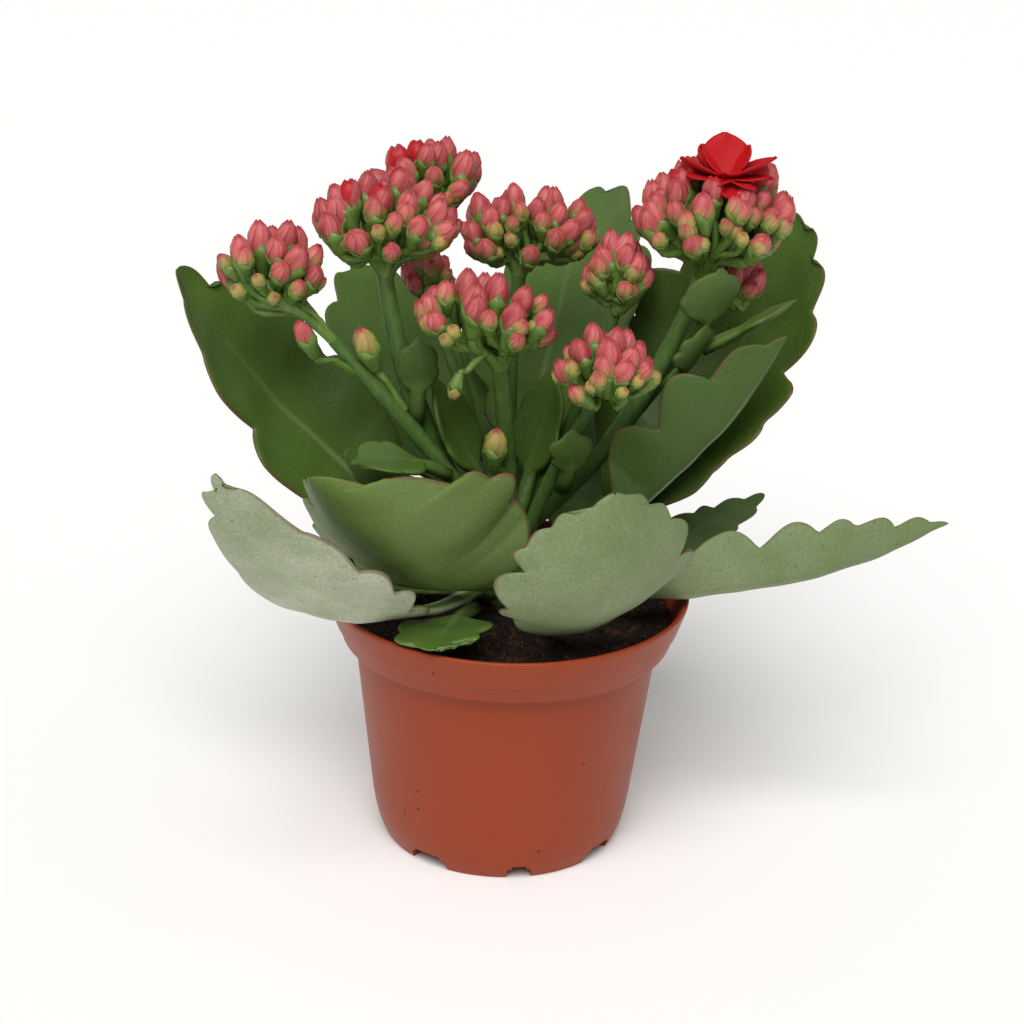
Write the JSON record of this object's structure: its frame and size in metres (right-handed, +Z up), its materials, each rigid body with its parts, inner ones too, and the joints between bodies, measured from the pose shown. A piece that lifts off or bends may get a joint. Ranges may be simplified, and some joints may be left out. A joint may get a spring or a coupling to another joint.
{
  "type": "potted kalanchoe",
  "caption": "Flowering kalanchoe in a tapered, moulded nursery pot: thick scalloped leaves, branching stems with domed heads of closed buds, and one open double flower.",
  "frame": {"origin": "middle of the pot's standing face, on the pot's axis", "axes": "+Z up along the pot's axis; -Y towards the plant's front; +X to the right seen from the front"},
  "size_m": [0.221, 0.1691, 0.2114],
  "materials": {
    "pot_plastic": "satin terracotta-coloured moulded polypropylene",
    "peat": "loose dark peat with fibres",
    "stem_skin": "smooth fleshy green stem",
    "leaf_skin": "fleshy leaf, satin green above, pale and waxy below",
    "coral_buds": "satin coral-pink closed buds with green calyces",
    "young_buds": "satin yellow-green young buds",
    "red_petals": "velvety bright red petals"
  },
  "bodies": {
    "root": {"bract_front_right": "leaf_skin", "bract_left_stem": "leaf_skin", "bract_left_upper": "leaf_skin", "bract_right_lower": "leaf_skin", "bract_right_narrow": "leaf_skin", "bract_right_upper": "leaf_skin", "bud_front_low": "young_buds", "bud_hanging": "young_buds", "bud_left_inner": "young_buds", "bud_left_low": "young_buds", "flower_head_back": "coral_buds", "flower_head_back_left": "coral_buds", "flower_head_front": "coral_buds", "flower_head_front_right": "coral_buds", "flower_head_inner": "coral_buds", "flower_head_left": "coral_buds", "flower_head_left_tall": "coral_buds", "flower_head_right": "coral_buds", "flower_head_right_inner": "coral_buds", "flower_head_right_rear": "coral_buds", "leaf_back_left": "leaf_skin", "leaf_back_low": "leaf_skin", "leaf_back_right": "leaf_skin", "leaf_back_tall": "leaf_skin", "leaf_front_centre": "leaf_skin", "leaf_front_left": "leaf_skin", "leaf_front_right": "leaf_skin", "leaf_inner_front": "leaf_skin", "leaf_inner_left": "leaf_skin", "leaf_lower_left": "leaf_skin", "leaf_lower_right": "leaf_skin", "leaf_mid_left": "leaf_skin", "leaf_mid_right": "leaf_skin", "leaf_on_soil_front": "leaf_skin", "leaf_on_soil_left": "leaf_skin", "leaf_side_left": "leaf_skin", "leaf_side_right": "leaf_skin", "leaf_upright_left": "leaf_skin", "leaf_upright_right": "leaf_skin", "main_stem": "stem_skin", "open_flower": "red_petals", "pot": "pot_plastic", "potting_soil": "peat", "stem_back": "stem_skin", "stem_back_left": "stem_skin", "stem_front": "stem_skin", "stem_front_right": "stem_skin", "stem_inner_left": "stem_skin", "stem_left": "stem_skin", "stem_left_tall": "stem_skin", "stem_right_inner": "stem_skin", "stem_right_rear": "stem_skin", "stem_right_tall": "stem_skin"}
  },
  "joints": []
}
